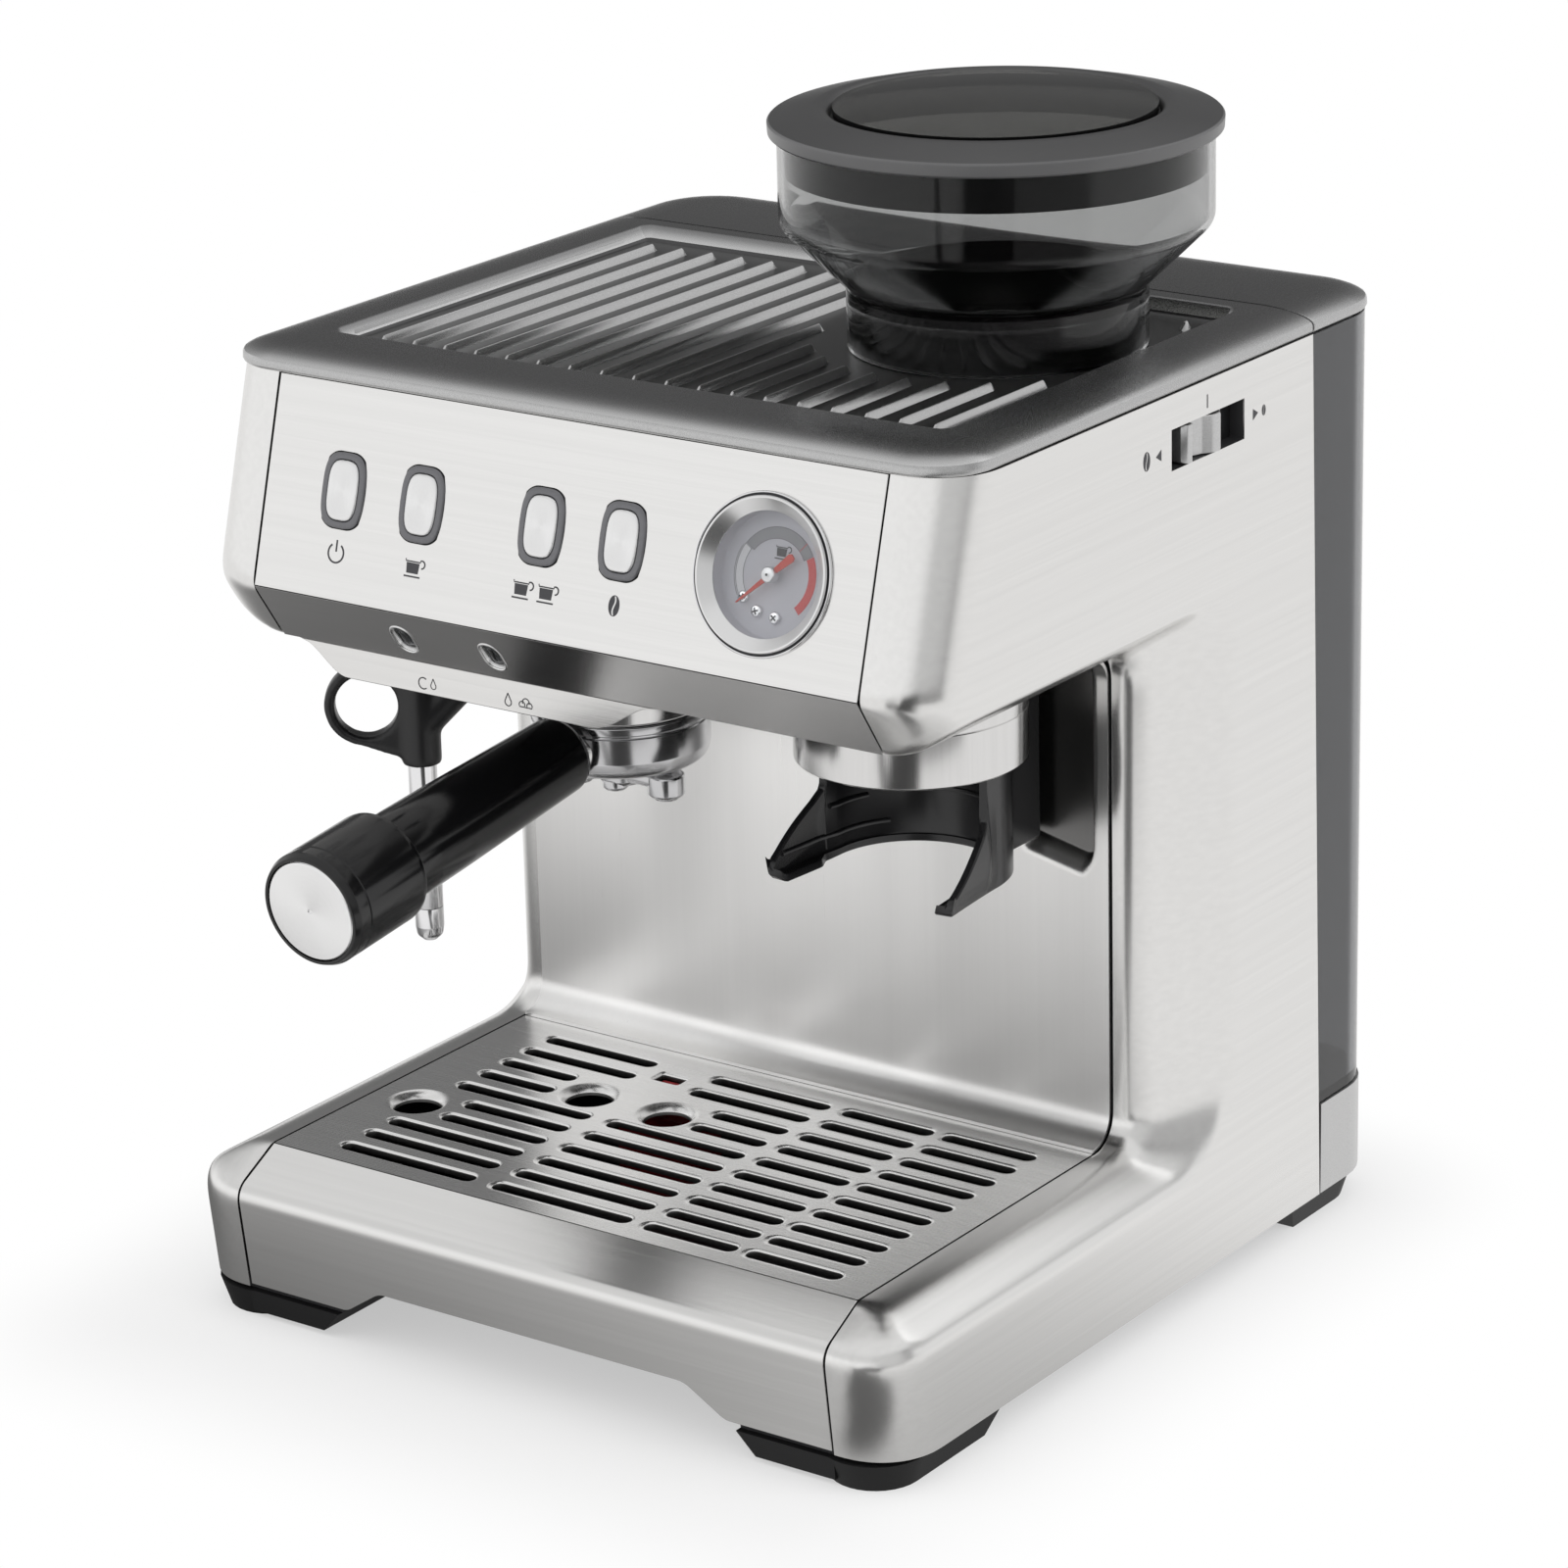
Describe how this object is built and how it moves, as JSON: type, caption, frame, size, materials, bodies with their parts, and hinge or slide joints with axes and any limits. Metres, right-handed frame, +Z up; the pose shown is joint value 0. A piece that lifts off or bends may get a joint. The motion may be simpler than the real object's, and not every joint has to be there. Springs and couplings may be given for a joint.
{
  "type": "espresso machine",
  "caption": "Espresso machine with built-in conical burr grinder: lipped control panel with a dial gauge, open cup bay, filter holder, steam wand, drip tray, bean hopper and rear water tank.",
  "frame": {"origin": "centre of the whole outline at the level of the feet's soles", "axes": "+Z up; -Y towards the user, out of the control panel; +X to the user's right, towards the grinder"},
  "size_m": [0.3076, 0.3494, 0.4001],
  "materials": {
    "steel_brushed": "fine straight grain, satin",
    "steel_bright": "polished",
    "steel_satin": "satin, no visible grain",
    "cover_graphite": "dark metallic satin",
    "lip_grey": "satin grey",
    "black_gloss": "high gloss black",
    "black_satin": "satin black",
    "black_rubber": "matte",
    "frame_dark": "moulded, matt",
    "silver_plastic": "metallic silver satin",
    "tank_smoke": "smoked clear plastic",
    "hopper_smoke": "smoked clear plastic",
    "lid_grey": "satin dark grey",
    "window_smoke": "glossy smoked plastic",
    "spun_alu": "spun, concentric grain",
    "alu_cast": "as cast",
    "brass": "machined",
    "ring_grey": "satin grey",
    "dial_face": "grey-violet, satin",
    "dial_glass": "clear",
    "needle_red": "gloss",
    "float_red": "gloss",
    "lens_clear": "frosted clear",
    "board_green": "solder mask",
    "burr_steel": "ground"
  },
  "bodies": {
    "body": {"base_pan": "frame_dark", "feet": "black_rubber", "column_frame": "frame_dark", "head_frame": "frame_dark", "side_casing_left": "steel_brushed", "side_casing_right": "steel_brushed", "front_panel": "steel_brushed", "lip_panel": "lip_grey", "under_plate": "steel_bright", "back_wall": "steel_brushed", "top_cover": "cover_graphite", "tank_base": "silver_plastic", "cord_gland": "black_rubber", "button_rings": "ring_grey", "control_board": "board_green", "gauge_case": "dial_face", "gauge_bezel": "steel_bright", "gauge_glass": "dial_glass", "indicator_lenses": "lens_clear", "group_head": "steel_satin", "group_gasket": "black_rubber", "shower_screen": "steel_satin", "thermoblock": "alu_cast", "steam_valve": "brass", "grinder_outlet": "steel_satin", "grinder_cradle": "black_satin", "grinder_body": "alu_cast", "burr_ring": "burr_steel", "grinder_motor": "steel_satin", "slider_guide": "black_satin", "pump": "steel_satin"},
    "tray": {"tray_fascia": "steel_brushed", "drip_tray": "black_satin"},
    "grid": {"drip_grid": "steel_brushed"},
    "float_body": {"float": "float_red"},
    "power_button": {"button_power": "spun_alu"},
    "one_cup_button": {"button_one_cup": "spun_alu"},
    "two_cups_button": {"button_two_cups": "spun_alu"},
    "grind_button": {"button_grind": "spun_alu"},
    "needle": {"gauge_needle": "needle_red"},
    "filter_holder": {"portafilter": "steel_bright", "filter_basket": "steel_satin", "spouts": "steel_bright", "handle": "black_gloss", "handle_sleeve": "black_gloss", "handle_disc": "spun_alu"},
    "ball": {"wand_ball": "steel_bright"},
    "wand": {"wand_tube": "steel_bright", "wand_tip": "steel_bright", "wand_grip": "black_satin"},
    "knob": {"steam_knob": "silver_plastic"},
    "tank": {"water_tank": "tank_smoke", "tank_valve": "black_satin"},
    "lid_of_tank": {"tank_lid": "cover_graphite"},
    "bean_hopper": {"hopper": "hopper_smoke"},
    "bean_lid": {"hopper_lid": "lid_grey", "lid_window": "window_smoke"},
    "inner_burr": {"burr_cone": "burr_steel"},
    "slider": {"grind_slider": "silver_plastic"}
  },
  "joints": [
    {"name": "power_press", "type": "slide", "parent": "body", "child": "power_button", "axis": [0, 0.9621, -0.2728], "range_m": [0, 0.0015], "stiffness_N_per_m": 600},
    {"name": "one_cup_press", "type": "slide", "parent": "body", "child": "one_cup_button", "axis": [0, 0.9621, -0.2728], "range_m": [0, 0.0015], "stiffness_N_per_m": 600},
    {"name": "two_cups_press", "type": "slide", "parent": "body", "child": "two_cups_button", "axis": [0, 0.9621, -0.2728], "range_m": [0, 0.0015], "stiffness_N_per_m": 600},
    {"name": "grind_press", "type": "slide", "parent": "body", "child": "grind_button", "axis": [0, 0.9621, -0.2728], "range_m": [0, 0.0015], "stiffness_N_per_m": 600},
    {"name": "needle_sweep", "type": "hinge", "parent": "body", "child": "needle", "pos_m": [0.08645, -0.09431, 0.2814], "axis": [0, -0.9621, 0.2728], "range_deg": [-264, 0], "stiffness_Nm_per_rad": 0.00002},
    {"name": "holder_lock", "type": "hinge", "parent": "body", "child": "filter_holder", "pos_m": [-0.03525, -0.01089, 0.1975], "axis": [0, 0, 1], "range_deg": [-42, 0]},
    {"name": "wand_forward", "type": "hinge", "parent": "body", "child": "ball", "pos_m": [-0.09725, -0.04029, 0.221], "axis": [-1, 0, 0], "range_deg": [0, 20]},
    {"name": "wand_outward", "type": "hinge", "parent": "ball", "child": "wand", "pos_m": [-0.09725, -0.04029, 0.221], "axis": [0, 1, 0], "range_deg": [0, 30]},
    {"name": "knob_turn", "type": "hinge", "parent": "body", "child": "knob", "pos_m": [-0.13575, -0.00529, 0.275], "axis": [-1, 0, 0], "range_deg": [-80, 80]},
    {"name": "grind_setting", "type": "slide", "parent": "body", "child": "slider", "axis": [0, 1, 0], "range_m": [-0.006, 0.006]},
    {"name": "hopper_lift", "type": "slide", "parent": "body", "child": "bean_hopper", "axis": [0, 0, 1], "range_m": [0, 0.04]},
    {"name": "bean_lid_lift", "type": "slide", "parent": "bean_hopper", "child": "bean_lid", "axis": [0, 0, 1], "range_m": [0, 0.05]},
    {"name": "burr_spin", "type": "hinge", "parent": "body", "child": "inner_burr", "pos_m": [0.07385, 0.05371, 0.29], "axis": [0, 0, 1], "continuous": true},
    {"name": "tank_lift", "type": "slide", "parent": "body", "child": "tank", "axis": [0, 0, 1], "range_m": [0, 0.03]},
    {"name": "tank_lid_open", "type": "hinge", "parent": "tank", "child": "lid_of_tank", "pos_m": [0.00825, 0.17471, 0.3173], "axis": [-1, 0, 0], "range_deg": [0, 80]},
    {"name": "tray_pull", "type": "slide", "parent": "body", "child": "tray", "axis": [0, -1, 0], "range_m": [0, 0.14]},
    {"name": "grid_lift", "type": "slide", "parent": "tray", "child": "grid", "axis": [0, 0, 1], "range_m": [0, 0.045]},
    {"name": "float_rise", "type": "slide", "parent": "tray", "child": "float_body", "axis": [0, 0, 1], "range_m": [0, 0.006]}
  ]
}
